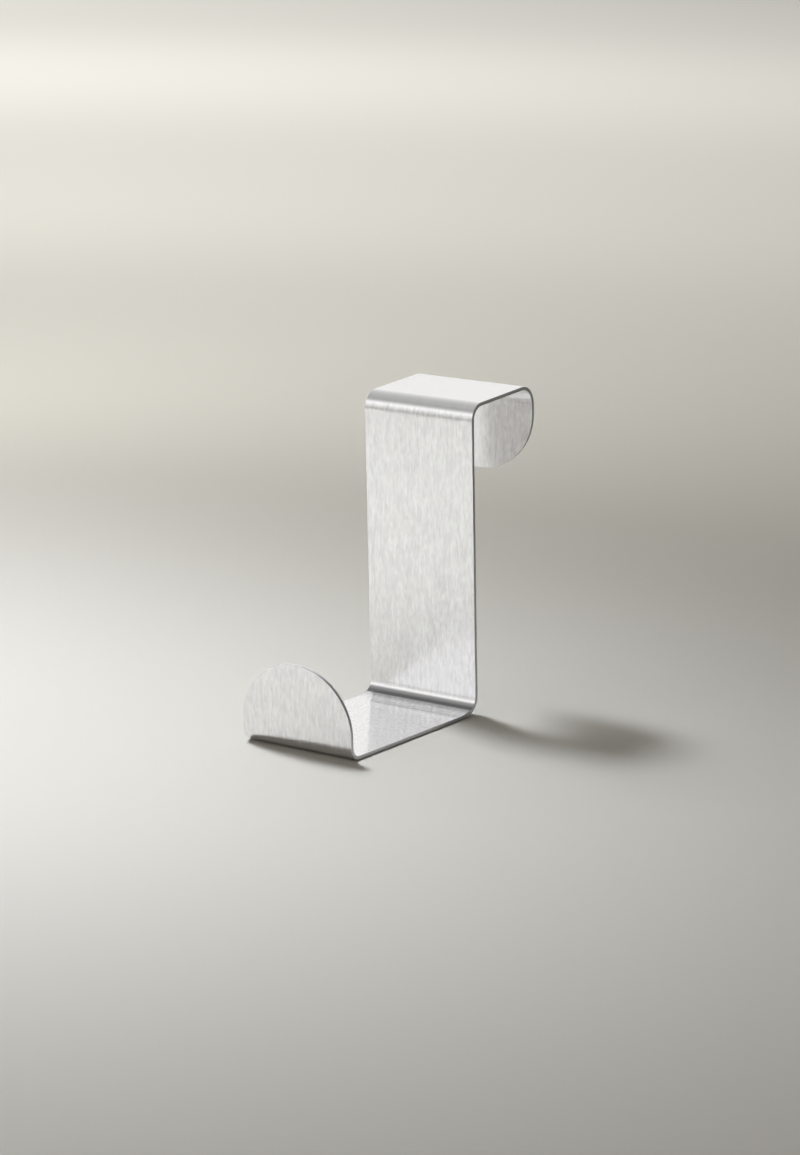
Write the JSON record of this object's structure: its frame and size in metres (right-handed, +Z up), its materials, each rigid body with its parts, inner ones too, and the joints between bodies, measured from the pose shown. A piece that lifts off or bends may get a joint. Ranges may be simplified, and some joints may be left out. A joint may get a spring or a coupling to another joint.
{
  "type": "over door hook",
  "caption": "Folded stainless strip hook that sits on a door's top edge: short back lip, flat front plate, shallow tray and upturned rounded tab.",
  "frame": {"origin": "middle of the flange's underside, where the door's top edge sits", "axes": "+Z up, +X along the strip's width, front of the hook faces -Y, door and lip towards +Y"},
  "size_m": [0.02, 0.0531, 0.0497],
  "materials": {
    "sheet": "brushed across the strip's length"
  },
  "bodies": {
    "root": {"hook": "sheet"}
  },
  "joints": []
}
